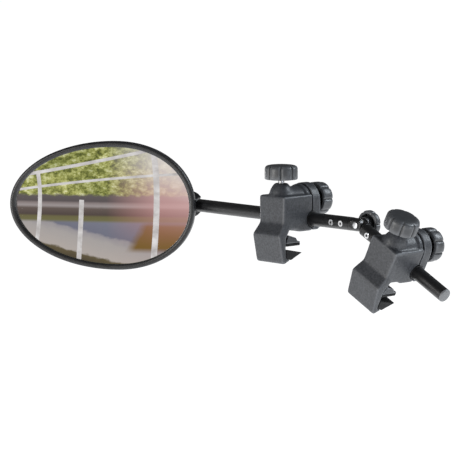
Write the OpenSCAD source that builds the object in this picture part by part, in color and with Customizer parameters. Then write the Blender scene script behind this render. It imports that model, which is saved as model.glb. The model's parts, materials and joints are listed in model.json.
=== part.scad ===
// Clamp-on towing mirror: an egg-shaped mirror head on a ball joint, a main bar,
// an end bar that folds at an elbow, and two claw clamps that slide on the bars.
// Millimetres, +Z up. The bars run along X and the claws open towards +Y.
// The origin is the middle of the left clamp's throat, where it grips a door mirror.

/* [Bars] */
// Outer diameter of both bars
bar_d = 12; // [11:0.5:13]
// Wall of the bar tubes
bar_wall = 1.5; // [1.2:0.1:2]
// Main bar, from the centre of its ball to the elbow pivot
main_len = 223.5; // [190:1:300]
// End bar, from the elbow pivot to its tip
end_len = 114; // [95:1:180]
// Drop of the end bar at the elbow, degrees
elbow_drop = 27; // [0:1:50]
// Distance from the elbow pivot to the end of each tube
tube_setback = 9; // [8.5:0.5:12]
// Length of a knuckle's shank inside its tube
shank_len = 31; // [28:1:36]
// Distance from the elbow pivot to the first rivet
rivet_first = 17; // [16:0.5:20]
// Distance between the two rivets of a knuckle
rivet_gap = 12; // [10:0.5:14]
// Diameter of a rivet's rolled rim
rivet_d = 5.2; // [4:0.1:5.4]
// Thickness of the cap in the end bar's tip
plug_cap = 1.6; // [1:0.2:3]

/* [Elbow] */
// Thickness of the friction disc between the two knuckles
disc_t = 0.8; // [0.5:0.1:1.4]
// Depth of the flat that is cut on the outside of each knuckle
flat_cut = 1; // [0.6:0.1:1.4]
// How far the elbow screw's end stands out at the front
elbow_proud = 1.1; // [1:0.1:3]
// Outer radius of the elbow knob
elbow_knob_r = 11.8; // [10:0.2:13]
// Height of the elbow knob's rim
elbow_knob_h = 8; // [7:0.5:10]
// Thickness of the elbow washer
elbow_washer_t = 1.2; // [0.8:0.1:2]
// Height of the elbow knob's hub below its rim
elbow_hub_drop = 3.2; // [2:0.2:5]

/* [Clamps] */
// Distance from the elbow pivot to the middle of the left clamp
clamp_left_x = 73.4; // [66:0.2:110]
// Distance from the elbow pivot to the middle of the right clamp
clamp_right_x = 61.5; // [50:0.5:70]
// Width of the clamp's block and back plate
block_w = 31.4; // [30:0.2:36]
// Depth from the bar axis to the inner face of the front plate
block_depth = 29.7; // [28.5:0.1:36]
// Height of the block above the bar axis
block_top = 22.3; // [21:0.1:25]
// Depth of the block below the bar axis
block_under = 10.3; // [9:0.1:11.5]
// Width of the front plate's upper part
plate_w = 32.6; // [30:0.2:38]
// Width of the front plate's lower part
plate_low_w = 35; // [32:0.2:42]
// Thickness of the front plate
plate_t = 6.3; // [5:0.1:8]
// Height of the plate's slanted step above the claw's bottom corner
step_rise = 35.6; // [34:0.2:40]
// Height of the slanted step itself
step_h = 10; // [8:0.5:12]
// How far the lower plate stands forward of the upper one
step_out = 7.3; // [6:0.1:8]
// How far the lower plate leans back towards its bottom corner
plate_lean = 4.7; // [3:0.1:6]
// Gap between the block and the back plate
seam = 0.8; // [0.4:0.1:1.2]
// Thickness of the back plate behind the bar axis
back_t = 9.4; // [8:0.2:11]
// Radius of the back plate's round top
back_r = 15.7; // [14:0.1:16]

/* [Claw and jaw] */
// Reach of the claw's point behind the front plate's upper face
claw_reach = 20.8; // [18:0.2:24]
// Height of the claw's point above the bottom corner
claw_rise = 9.2; // [8:0.2:11]
// Thickness of the rubber pad at the root of the claw
claw_pad_t = 7.8; // [6:0.2:9]
// Gap between the jaw pad and the claw pad at the root
throat = 2.1; // [2.1:0.1:4]
// Thickness of the jaw's rubber pad
jaw_pad_t = 2.5; // [2:0.1:3.5]
// Height of the jaw carrier at its front
jaw_h = 7.5; // [7:0.1:8.5]
// Depth of the jaw from front to back
jaw_depth = 17.6; // [16:0.2:20]
// Width of the jaw
jaw_w = 31; // [28:0.5:33]
// Width of the rib that guides the jaw in the plate
guide_w = 6; // [4:0.5:8]

/* [Screws and knobs] */
// Nominal diameter of the three kinds of clamp screw
screw_d = 6; // [5:0.5:6]
// Distance from the bar axis forward to the jaw screw
screw_y = 24.3; // [22:0.1:25]
// Height of the back screw above the bar axis
back_screw_z = 16; // [15:0.1:17]
// Radius of the barrel around the back screw
barrel_r = 13.3; // [12:0.1:14]
// Base radius of the boss around the jaw screw
boss_r = 11; // [10:0.1:12]
// Height of that boss above the block
boss_h = 10.9; // [10:0.1:13]
// Outer radius of a clamp knob
knob_r = 15; // [13:0.5:17]
// Height of a clamp knob's rim
knob_h = 13.2; // [10:0.2:14]
// Bare screw between the boss and the jaw knob
bare_screw = 3; // [3:0.1:6]
// Length of the spacer under the back knob
spacer_l = 5.8; // [4:0.2:8]
// Outer diameter of a threaded insert
insert_d = 9; // [8:0.5:10]
// Length of a threaded insert
insert_l = 9; // [7:0.5:10]

/* [Mirror head] */
// Width of the head
head_w = 178; // [150:1:215]
// Height of the head
head_h = 121.4; // [105:0.2:146]
// How far right of the middle the head is at its tallest
head_bias = 12.8; // [5:0.2:18]
// Angle between the bars and the mirror's plane, degrees
head_angle = 37.6; // [30:0.2:38]
// Depth of the bezel
bezel_t = 8; // [7:0.5:8]
// Width of the bezel over the front face
bezel_w = 5.4; // [4.5:0.1:7]
// Radius of the mirror glass's convex face
glass_r = 1200; // [900:10:2000]
// Thickness of the mirror glass
glass_t = 2.2; // [2:0.1:3]
// Depth of the housing behind the bezel
shell_depth = 14.3; // [13:0.1:15]
// Wall of the housing
shell_t = 2.4; // [2:0.1:3]

/* [Ball joint] */
// Radius of the ball
ball_r = 8; // [7.5:0.1:8.5]
// Radius of the neck behind the ball
neck_r = 3.6; // [3:0.1:3.8]
// Thickness of the liner around the ball
liner_t = 0.95; // [0.8:0.05:1.2]
// Outer radius of the socket
socket_r = 12.5; // [12:0.1:13.5]
// Distance from the socket's centre to the right end of the head
socket_in = 9.5; // [9:0.1:11]
// Distance from the head's front plane back to the ball
ball_back = 27; // [27:0.2:30]
// Swing of the head towards the bar, degrees
swing_in = 5; // [0:1:5]
// Swing of the head away from the bar, degrees
swing_out = 60; // [30:1:60]
// Tilt of the head each way, degrees
head_tilt = 15; // [5:1:15]
// Diameter of the three socket screws
cap_screw_d = 3; // [2.5:0.1:3.5]

/* [Hidden] */
// running clearance between a bar or ball and what slides on it
run = 0.05;
// radial clearance of a screw in a plain hole
loose = 0.3;
// thickness of the split sleeve between a bar and its clamp
sleeve_t = 0.8;
// clearance between moulded pieces that move past each other
part_gap = 0.4;
$fn = 64;

bar_r = bar_d / 2;
bore_r = bar_r - bar_wall;
sleeve_r = bar_r + run + sleeve_t;
groove_r = sleeve_r + run;
half_disc = disc_t / 2;
knuckle_flat = bar_r - flat_cut;

plate_front = -(block_depth + plate_t);
plate_in = -block_depth;
step_low = -(step_rise + step_h - 8) + 25.6;
corner_z = step_low - 25.6;
low_front = plate_front - step_out;
low_in = low_front + plate_t + 2.6;
claw_y = plate_front + claw_reach;
claw_z = corner_z + claw_rise;
pad_top = claw_z + 4.2;
pad_low = pad_top - claw_pad_t;
jaw_bottom = pad_top + throat;
jaw_mid = jaw_bottom + jaw_pad_t;
jaw_top = jaw_mid + jaw_h;
jaw_front = low_in + 1.6;
jaw_back = jaw_front + jaw_depth;
web_z = jaw_top - 4.5;
boss_top = block_top + boss_h;
knob_z = boss_top + bare_screw;
screw_end = web_z - 1.9;

head_rx = head_w / 2 - head_bias;
head_lx = head_w / 2 + head_bias;
ball_u = head_w / 2 - socket_in;
cup_r = ball_r + run + liner_t + run;
// the main tube starts just outside the socket, where the ball's neck widens into its shank
neck_end = socket_r + 1.5;
ball_x = -main_len;
origin = [-clamp_left_x, -screw_y, (pad_top + jaw_bottom) / 2];

// ---- places ----

module from_pivot() {
  translate(-origin)
    children();
}

module on_end_bar() {
  from_pivot()
    rotate([0, elbow_drop, 0])
      children();
}

module at_left() {
  from_pivot()
    translate([-clamp_left_x, 0, 0])
      children();
}

module at_right() {
  on_end_bar()
    translate([clamp_right_x, 0, 0])
      children();
}

module at_head() {
  from_pivot()
    translate([ball_x, 0, 0])
      rotate([0, 0, head_angle])
        translate([-ball_u, -ball_back, 0])
          children();
}

// a shape drawn along Z is laid along X or along +Y
module along_x() {
  rotate([0, 90, 0])
    children();
}

module along_y() {
  rotate([-90, 0, 0])
    children();
}

// a profile drawn as [y, z] is extruded along X, centred
module side_profile(points, width) {
  rotate([90, 0, 90])
    translate([0, 0, -width / 2])
      linear_extrude(width)
        polygon(points);
}

// ---- knobs: base at z = 0, the rim starts above the hub by drop ----

module knob(r, h, lobes, drop, hole_r, hole_h) {
  hub = hole_r + 3.2;
  wall = 3.4;
  roof = drop + h * 0.62;
  top = drop + h;
  difference() {
    rotate_extrude()
      polygon([[hole_r, 0], [hub, 0], [hub, roof], [r - wall, roof], [r - wall, drop],
        [r - 0.7, drop], [r, drop + 0.7], [r, top - 3.2], [r - 0.6, top - 1.8],
        [r - 2, top - 0.8], [r - 4.5, top - 0.2], [0, top], [0, hole_h], [hole_r, hole_h]]);
    // finger grooves between the lobes
    for (i = [0 : lobes - 1])
      rotate([0, 0, i * 360 / lobes])
        translate([r + 1.1, 0, drop - 1])
          cylinder(r = 2.7, h = h + 2);
  }
}

// ---- clamp pieces, in the clamp's own frame: bar axis on X ----

module front_outline() {
  rotate([90, 0, 0])
    translate([0, 0, -60])
      linear_extrude(120)
        polygon([[-plate_w / 2, block_top], [-plate_w / 2 + 0.6, step_low + step_h],
          [-plate_low_w / 2, step_low], [-plate_low_w / 2, corner_z - 1],
          [plate_low_w / 2, corner_z - 1], [plate_low_w / 2, step_low],
          [plate_w / 2 - 0.6, step_low + step_h], [plate_w / 2, block_top]]);
}

module clamp_body() {
  difference() {
    union() {
      // front plate with its step and claw root
      intersection() {
        side_profile([[plate_front, block_top - 0.8], [plate_front, step_low + step_h],
          [low_front, step_low], [low_front + plate_lean, corner_z + 1.8],
          [low_front + plate_lean + 0.9, corner_z + 0.4], [plate_front - 0.2, corner_z],
          [plate_front + claw_reach * 0.36, corner_z + claw_rise * 0.37],
          [low_in, pad_low], [low_in, step_low - 2.5], [plate_in, step_low + 3],
          [plate_in, block_top], [plate_front + 0.8, block_top]], plate_low_w + 4);
        front_outline();
      }
      // block that holds the bar
      side_profile([[plate_in - 1, block_top], [-seam / 2, block_top], [-seam / 2, -block_under],
        [-15.5, -block_under], [-19.5, -block_under + 1.9], [plate_in - 1, -block_under + 2.3]],
        block_w);
      // barrel over the back screw, and its collar at the seam
      translate([0, -screw_y, back_screw_z])
        along_y()
          cylinder(r = barrel_r, h = screw_y - seam / 2);
      translate([0, -5.2, back_screw_z])
        along_y()
          cylinder(r = back_r - 0.8, h = 5.2 - seam / 2);
      // boss around the jaw screw
      translate([0, -screw_y, 0])
        rotate_extrude()
          polygon([[0, block_top - 4], [boss_r, block_top - 4], [boss_r, block_top],
            [boss_r - 1.2, block_top + boss_h * 0.42], [boss_r - 3.4, block_top + boss_h * 0.78],
            [boss_r - 5.3, boss_top - 0.3], [boss_r - 6.2, boss_top], [0, boss_top]]);
    }
    // groove for the bar and its sleeve
    translate([-block_w, 0, 0])
      along_x()
        cylinder(r = groove_r, h = 2 * block_w);
    // way through for the jaw screw, and the pocket of its insert
    translate([0, -screw_y, corner_z])
      cylinder(r = screw_d / 2 + loose, h = boss_top - corner_z + 1);
    translate([0, -screw_y, boss_top - 1.8 - insert_l])
      cylinder(r = insert_d / 2, h = insert_l);
    // way through for the back screw, and the pocket of its insert
    translate([0, -screw_y + screw_d / 2 + 3, back_screw_z])
      along_y()
        cylinder(r = screw_d / 2 + loose, h = screw_y);
    translate([0, -4 - insert_l, back_screw_z])
      along_y()
        cylinder(r = insert_d / 2, h = insert_l);
    // slot that guides the jaw's rib
    translate([-guide_w / 2 - part_gap, low_in - 2.6, jaw_bottom - 2.4])
      cube([guide_w + 2 * part_gap, 9, step_low + 5.4 - jaw_bottom]);
    // groove that keys the claw pad
    translate([-plate_low_w / 2 + 5, low_in - 2.4, claw_z - 2.4])
      cube([plate_low_w - 10, 3, 2.4]);
  }
}

module claw_pad() {
  intersection() {
    union() {
      side_profile([[low_in, pad_top], [claw_y - 0.8, claw_z + 0.3], [claw_y, claw_z],
        [plate_front + claw_reach * 0.36, corner_z + claw_rise * 0.37], [low_in, pad_low]],
        plate_low_w);
      translate([-plate_low_w / 2 + 5, low_in - 2.4, claw_z - 2.4])
        cube([plate_low_w - 10, 3, 2.4]);
    }
    front_outline();
  }
}

module jaw_nut() {
  difference() {
    translate([0, -screw_y, boss_top - 1.8 - insert_l])
      cylinder(r = insert_d / 2, h = insert_l);
    translate([0, -screw_y, boss_top - 3 - insert_l])
      cylinder(r = screw_d / 2 + run, h = insert_l + 3);
  }
}

module back_nut() {
  translate([0, -4 - insert_l, back_screw_z])
    along_y()
      difference() {
        cylinder(r = insert_d / 2, h = insert_l);
        translate([0, 0, -1])
          cylinder(r = screw_d / 2 + run, h = insert_l + 2);
      }
}

module bar_sleeve() {
  difference() {
    translate([-block_w / 2, 0, 0])
      along_x()
        difference() {
          cylinder(r = sleeve_r, h = block_w);
          translate([0, 0, -1])
            cylinder(r = bar_r + run, h = block_w + 2);
        }
    // slit that lets the sleeve close on the bar
    translate([-block_w, 0, -1])
      cube([2 * block_w, bar_d, 2]);
  }
}

module back_plate() {
  lip = -block_under + 0.6;
  difference() {
    intersection() {
      rotate([90, 0, 0])
        translate([0, 0, -2 * back_t])
          linear_extrude(2 * back_t)
            union() {
              intersection() {
                translate([0, back_screw_z])
                  circle(r = back_r);
                translate([-block_w, 0])
                  square([2 * block_w, 60]);
              }
              translate([-back_r, lip])
                square([2 * back_r, back_screw_z - lip]);
            }
      // slanted lip under the bar
      side_profile([[seam / 2, lip], [back_t - 3.2, lip], [back_t, lip + 2.2],
        [back_t, 2 * block_top], [seam / 2, 2 * block_top]], 3 * block_w);
    }
    translate([-block_w, 0, 0])
      along_x()
        cylinder(r = groove_r, h = 2 * block_w);
    translate([0, -1, back_screw_z])
      along_y()
        cylinder(r = screw_d / 2 + loose, h = back_t + 2);
  }
}

module back_spacer() {
  translate([0, back_t, back_screw_z])
    along_y()
      difference() {
        cylinder(r = screw_d / 2 + 3.6, h = spacer_l - 0.6);
        translate([0, 0, -1])
          cylinder(r = screw_d / 2 + loose, h = spacer_l + 2);
      }
}

module back_screw() {
  translate([0, -screw_y + screw_d / 2 + 4.5, back_screw_z])
    along_y()
      cylinder(r = screw_d / 2, h = screw_y - screw_d / 2 - 4.5 + back_t + spacer_l + knob_h * 0.7);
}

module back_knob() {
  translate([0, back_t + spacer_l - 0.6, back_screw_z])
    along_y()
      knob(knob_r, knob_h, 8, 0.6, screw_d / 2, knob_h * 0.7 + 0.6);
}

module jaw() {
  difference() {
    union() {
      side_profile([[jaw_front, jaw_mid], [jaw_front + 3.5, jaw_top],
        [jaw_front + 12.4, jaw_top - 3], [jaw_front + 14, jaw_top - 5.6],
        [jaw_back, jaw_mid + 1], [jaw_back - 0.2, jaw_mid]], jaw_w);
      // rib that runs in the plate's slot
      translate([-guide_w / 2, low_in - 2.2, jaw_mid + 0.5])
        cube([guide_w, jaw_front - low_in + 5.6, jaw_h - 2.5]);
    }
    // seat, neck and clip pocket for the end of the jaw screw
    translate([0, -screw_y, web_z + 1.6])
      cylinder(r = screw_d / 2 + loose, h = 12);
    translate([0, -screw_y, jaw_mid - 1])
      cylinder(r = screw_d / 2 - 1 + 0.15, h = 12);
    translate([0, -screw_y, jaw_mid - 2])
      cylinder(r = screw_d / 2 + 1.2, h = web_z - jaw_mid + 2);
  }
}

module jaw_pad() {
  side_profile([[jaw_front - 0.3, jaw_mid], [jaw_back - 0.2, jaw_mid],
    [jaw_back - 0.8, jaw_bottom], [jaw_front - 0.3, jaw_bottom]], jaw_w);
}

module jaw_screw() {
  translate([0, -screw_y, 0])
    difference() {
      union() {
        translate([0, 0, web_z + 1.6])
          cylinder(r = screw_d / 2, h = knob_z + knob_h * 0.7 - web_z - 1.6);
        translate([0, 0, screw_end])
          cylinder(r = screw_d / 2 - 1, h = web_z + 1.7 - screw_end);
      }
      // groove for the clip
      translate([0, 0, web_z - 0.9])
        difference() {
          cylinder(r = screw_d, h = 0.7);
          translate([0, 0, -1])
            cylinder(r = screw_d / 2 - 1.5, h = 3);
        }
    }
}

module jaw_clip() {
  translate([0, -screw_y, web_z - 0.9])
    difference() {
      cylinder(r = screw_d / 2 + 0.5, h = 0.7);
      translate([0, 0, -1])
        cylinder(r = screw_d / 2 - 1.5, h = 3);
      translate([0, -screw_d / 2 + 1.5, -1])
        cube([screw_d, screw_d - 3, 3]);
    }
}

module jaw_knob() {
  translate([0, -screw_y, knob_z - 0.6])
    knob(knob_r, knob_h, 8, 0.6, screw_d / 2, knob_h * 0.7 + 0.6);
}

// ---- bars and elbow, pivot at the origin, bar on +X ----

// half-lap knuckle: shank in the tube, round tongue on the side y > 0
module knuckle() {
  difference() {
    union() {
      translate([tube_setback, 0, 0])
        along_x()
          cylinder(r = bore_r, h = shank_len);
      intersection() {
        translate([-bar_r, 0, 0])
          along_x()
            cylinder(r = bar_r, h = bar_r + tube_setback);
        union() {
          translate([0, half_disc, 0])
            along_y()
              cylinder(r = bar_r, h = bar_r);
          translate([0, half_disc, -bar_r])
            cube([tube_setback, bar_r, bar_d]);
          translate([bar_r + 0.8, -bar_r, -bar_r])
            cube([tube_setback - bar_r - 0.8, bar_d, bar_d]);
        }
      }
    }
    // flat seat on the outside of the tongue
    translate([0, knuckle_flat, 0])
      along_y()
        cylinder(r = bar_r + 0.2, h = bar_r);
    rivet_holes();
  }
}

module rivet_holes() {
  for (i = [0, 1])
    translate([rivet_first + i * rivet_gap, -bar_d, 0])
      along_y()
        cylinder(r = 1.6, h = 2 * bar_d);
}

module rivets() {
  for (i = [0, 1])
    translate([rivet_first + i * rivet_gap, 0, 0])
      difference() {
        union() {
          translate([0, -bar_r + 0.1, 0])
            along_y()
              cylinder(r = 1.6, h = bar_d - 0.2);
          for (s = [0, 1])
            mirror([0, s, 0])
              translate([0, -bar_r - 0.7, 0])
                along_y()
                  cylinder(r = rivet_d / 2, h = 0.9);
        }
        translate([0, -bar_d, 0])
          along_y()
            cylinder(r = 1.15, h = 2 * bar_d);
        // the rims are rolled over the round bar
        intersection() {
          translate([rivet_d * -1, -bar_d, -rivet_d])
            cube([2 * rivet_d, 2 * bar_d, 2 * rivet_d]);
          difference() {
            translate([-bar_d, 0, 0])
              along_x()
                cylinder(r = bar_r, h = 2 * bar_d);
            translate([0, -bar_d, 0])
              along_y()
                cylinder(r = 1.6, h = 2 * bar_d);
          }
        }
      }
}

module tube(from, to) {
  difference() {
    translate([from, 0, 0])
      along_x()
        cylinder(r = bar_r, h = to - from);
    translate([from - 1, 0, 0])
      along_x()
        cylinder(r = bore_r, h = to - from + 2);
    rivet_holes();
  }
}

// ---- head outline: two half superellipses, inset all round by d ----

function curve(c, e) = sign(c) * pow(abs(c), 2 / e);
function egg(d, n = 72) = [for (i = [0 : n - 1])
  let (t = 360 * i / n, right = cos(t) >= 0, e = right ? 2.1 : 2)
  [head_bias + ((right ? head_rx : head_lx) - d) * curve(cos(t), e),
    (head_h / 2 - d) * curve(sin(t), e)]];

// extrudes the outline backwards from y = from to y = to
module egg_slab(d, from, to) {
  translate([0, to, 0])
    rotate([90, 0, 0])
      linear_extrude(to - from)
        polygon(egg(d));
}

module glass_ball(r) {
  translate([0, glass_r + 1.2, 0])
    sphere(r = r, $fn = 256);
}

module shell_form(inset, forward) {
  hull() {
    egg_slab(0.6 + inset, bezel_t - forward, bezel_t + 0.5);
    egg_slab(1.6 + inset, bezel_t, bezel_t + shell_depth * 0.21);
    egg_slab(4 + inset, bezel_t, bezel_t + shell_depth * 0.42);
    egg_slab(9 + inset, bezel_t, bezel_t + shell_depth * 0.63);
    egg_slab(17 + inset, bezel_t, bezel_t + shell_depth * 0.8);
    egg_slab(29 + inset, bezel_t, bezel_t + shell_depth * 0.94);
    egg_slab(42 + inset, bezel_t, bezel_t + shell_depth);
  }
}

// room that the neck sweeps through as the head swings, in the ball's frame
module neck_room(half_h, reach) {
  margin = asin((neck_r + loose) / ball_r);
  rotate([0, 0, -(head_angle + swing_in + margin)])
    rotate_extrude(angle = swing_in + swing_out + 2 * margin)
      translate([0.5, -half_h])
        square([reach, 2 * half_h]);
}

module at_ball() {
  translate([ball_u, ball_back, 0])
    children();
}

cap_screw_r = socket_r + 4;

module cap_screw_places() {
  for (a = [115, 180, 245])
    translate([ball_u + cap_screw_r * cos(a), 0, cap_screw_r * sin(a)])
      children();
}

// ---- nodes ----

module mirror_glass() {
  color("lightsteelblue")
    at_head()
      intersection() {
        egg_slab(3.1, 0, bezel_t);
        difference() {
          glass_ball(glass_r);
          glass_ball(glass_r - glass_t);
        }
      }
}

module mirror_backing() {
  color("dimgray")
    at_head()
      intersection() {
        egg_slab(3.1, 0, bezel_t);
        difference() {
          glass_ball(glass_r - glass_t);
          glass_ball(glass_r - glass_t - 3.4);
        }
      }
}

module mirror_bezel() {
  color("black")
    at_head()
      difference() {
        egg_slab(0, 0, bezel_t);
        egg_slab(bezel_w, -1, bezel_t + 1);
        intersection() {
          egg_slab(3, -1, bezel_t + 1);
          glass_ball(glass_r);
        }
      }
}

module mirror_housing() {
  color("darkslategray")
    at_head()
      difference() {
        union() {
          difference() {
            shell_form(0, 0);
            translate([0, -shell_t, 0])
              shell_form(shell_t + 3, 4);
          }
          // front half of the socket, with the bosses of the cap screws
          intersection() {
            union() {
              at_ball()
                sphere(r = socket_r);
              translate([ball_u - 20, bezel_t + 4, -9])
                cube([17, ball_back - bezel_t - 4, 18]);
              cap_screw_places()
                translate([0, bezel_t + 3, 0])
                  along_y()
                    cylinder(r = 4, h = ball_back);
              for (s = [-1, 1])
                translate([ball_u - 9, bezel_t + 4, s * 9.5 - 3])
                  cube([6, ball_back - bezel_t - 4, 6]);
            }
            translate([0, bezel_t + 2, -60])
              cube([head_w, ball_back - bezel_t - 2, 120]);
          }
        }
        at_ball()
          sphere(r = cup_r);
        at_ball()
          neck_room(neck_r + 2.6, 2 * socket_r);
        cap_screw_places()
          translate([0, ball_back - 9, 0])
            along_y()
              cylinder(r = cap_screw_d / 2, h = 10);
      }
}

module socket_cap() {
  color("black")
    at_head()
      difference() {
        union() {
          at_ball()
            along_y()
              rotate_extrude()
                polygon([[0, 0], for (a = [0 : 10 : 90]) socket_r * [cos(a), sin(a)]]);
          cap_screw_places()
            translate([0, ball_back, 0])
              along_y()
                cylinder(r = 4, h = 3.5);
          for (a = [-65, 0, 65])
            translate([ball_u, ball_back, 0])
              rotate([0, a, 0])
                translate([-cap_screw_r, 0, -3.3])
                  cube([cap_screw_r - socket_r + 2, 3.2, 6.6]);
        }
        at_ball()
          sphere(r = cup_r);
        at_ball()
          neck_room(neck_r + 2.6, 2 * socket_r);
        cap_screw_places()
          translate([0, ball_back - 1, 0])
            along_y()
              cylinder(r = cap_screw_d / 2 + 0.2, h = 10);
      }
}

module socket_screws() {
  color("silver")
    at_head()
      cap_screw_places()
        translate([0, ball_back - 8.5, 0])
          along_y()
            union() {
              cylinder(r = cap_screw_d / 2, h = 12.2);
              translate([0, 0, 12])
                cylinder(r = cap_screw_d * 0.93, h = 2);
            }
}

module ball_liner() {
  color("ivory")
    at_head()
      at_ball()
        difference() {
            rotate_extrude()
              difference() {
                circle(r = ball_r + run + liner_t);
                circle(r = ball_r + run);
                translate([-2 * ball_r, -2 * ball_r])
                  square([2 * ball_r, 4 * ball_r]);
              }
          neck_room(neck_r + 0.3, 2 * ball_r);
        }
}

module ball_stud() {
  color("gray")
    from_pivot()
      translate([ball_x, 0, 0])
        union() {
          along_x()
            sphere(r = ball_r);
          along_x()
            cylinder(r = neck_r, h = neck_end);
          translate([neck_end, 0, 0])
            along_x()
              cylinder(r = bore_r, h = 20);
        }
}

module main_tube() {
  color("black")
    from_pivot()
      rotate([0, 0, 180])
        tube(tube_setback, main_len - neck_end);
}

module main_knuckle() {
  color("gray")
    from_pivot()
      rotate([0, 0, 180])
        difference() {
          knuckle();
          translate([0, -bar_d, 0])
            along_y()
              cylinder(r = screw_d / 2 + run, h = 2 * bar_d);
        }
}

module main_rivets() {
  color("silver")
    from_pivot()
      rotate([0, 0, 180])
        rivets();
}

module elbow_disc() {
  color("white")
    from_pivot()
      translate([0, -half_disc + 0.05, 0])
        along_y()
          difference() {
            cylinder(r = bar_r - 0.3, h = disc_t - 0.1);
            translate([0, 0, -1])
              cylinder(r = screw_d / 2 + loose, h = 3);
          }
}

module elbow_washer() {
  color("silver")
    from_pivot()
      translate([0, knuckle_flat, 0])
        along_y()
          difference() {
            cylinder(r = bar_r, h = elbow_washer_t);
            translate([0, 0, -1])
              cylinder(r = screw_d / 2 + loose, h = 6);
          }
}

module elbow_screw() {
  color("silver")
    from_pivot()
      translate([0, -knuckle_flat - elbow_proud, 0])
        along_y()
          cylinder(r = screw_d / 2, h = 2 * knuckle_flat + elbow_proud + elbow_washer_t
            + elbow_hub_drop + elbow_knob_h * 0.6);
}

module elbow_knob() {
  color("dimgray")
    from_pivot()
      translate([0, knuckle_flat + elbow_washer_t, 0])
        along_y()
          knob(elbow_knob_r, elbow_knob_h, 6, elbow_hub_drop, screw_d / 2,
            elbow_hub_drop + elbow_knob_h * 0.6);
}

module end_knuckle() {
  color("gray")
    on_end_bar()
      difference() {
        knuckle();
        translate([0, -bar_d, 0])
          along_y()
            cylinder(r = screw_d / 2 + loose, h = 2 * bar_d);
      }
}

module end_tube() {
  color("black")
    on_end_bar()
      tube(tube_setback, end_len - plug_cap);
}

module end_rivets() {
  color("silver")
    on_end_bar()
      rivets();
}

module end_plug() {
  color("lightgray")
    on_end_bar()
      translate([end_len - plug_cap, 0, 0])
        along_x()
          union() {
            cylinder(r = bar_r, h = plug_cap);
            translate([0, 0, -12])
              cylinder(r = bore_r, h = 12.1);
          }
}

module clamp_body_left() {
  color("slategray")
    at_left()
      clamp_body();
}

module clamp_body_right() {
  color("slategray")
    at_right()
      clamp_body();
}

module claw_pad_left() {
  color("black")
    at_left()
      claw_pad();
}

module claw_pad_right() {
  color("black")
    at_right()
      claw_pad();
}

module jaw_nut_left() {
  color("goldenrod")
    at_left()
      jaw_nut();
}

module jaw_nut_right() {
  color("goldenrod")
    at_right()
      jaw_nut();
}

module back_nut_left() {
  color("goldenrod")
    at_left()
      back_nut();
}

module back_nut_right() {
  color("goldenrod")
    at_right()
      back_nut();
}

module bar_sleeve_left() {
  color("ivory")
    at_left()
      bar_sleeve();
}

module bar_sleeve_right() {
  color("ivory")
    at_right()
      bar_sleeve();
}

module back_plate_left() {
  color("slategray")
    at_left()
      back_plate();
}

module back_plate_right() {
  color("slategray")
    at_right()
      back_plate();
}

module back_spacer_left() {
  color("black")
    at_left()
      back_spacer();
}

module back_spacer_right() {
  color("black")
    at_right()
      back_spacer();
}

module back_screw_left() {
  color("silver")
    at_left()
      back_screw();
}

module back_screw_right() {
  color("silver")
    at_right()
      back_screw();
}

module back_knob_left() {
  color("dimgray")
    at_left()
      back_knob();
}

module back_knob_right() {
  color("dimgray")
    at_right()
      back_knob();
}

module jaw_left() {
  color("dimgray")
    at_left()
      jaw();
}

module jaw_right() {
  color("dimgray")
    at_right()
      jaw();
}

module jaw_pad_left() {
  color("black")
    at_left()
      jaw_pad();
}

module jaw_pad_right() {
  color("black")
    at_right()
      jaw_pad();
}

module jaw_screw_left() {
  color("silver")
    at_left()
      jaw_screw();
}

module jaw_screw_right() {
  color("silver")
    at_right()
      jaw_screw();
}

module jaw_clip_left() {
  color("silver")
    at_left()
      jaw_clip();
}

module jaw_clip_right() {
  color("silver")
    at_right()
      jaw_clip();
}

module jaw_knob_left() {
  color("dimgray")
    at_left()
      jaw_knob();
}

module jaw_knob_right() {
  color("dimgray")
    at_right()
      jaw_knob();
}

mirror_glass();
mirror_backing();
mirror_bezel();
mirror_housing();
socket_cap();
socket_screws();
ball_liner();
ball_stud();
main_tube();
main_knuckle();
main_rivets();
elbow_disc();
elbow_washer();
elbow_screw();
elbow_knob();
end_knuckle();
end_tube();
end_rivets();
end_plug();
clamp_body_left();
claw_pad_left();
jaw_nut_left();
back_nut_left();
bar_sleeve_left();
back_plate_left();
back_spacer_left();
back_screw_left();
back_knob_left();
jaw_left();
jaw_pad_left();
jaw_screw_left();
jaw_clip_left();
jaw_knob_left();
clamp_body_right();
claw_pad_right();
jaw_nut_right();
back_nut_right();
bar_sleeve_right();
back_plate_right();
back_spacer_right();
back_screw_right();
back_knob_right();
jaw_right();
jaw_pad_right();
jaw_screw_right();
jaw_clip_right();
jaw_knob_right();
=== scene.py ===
"""Clamp-on towing mirror: finished pieces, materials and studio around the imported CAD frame."""
import json
import math

import bmesh
import bpy
from mathutils import Matrix, Vector


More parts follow.
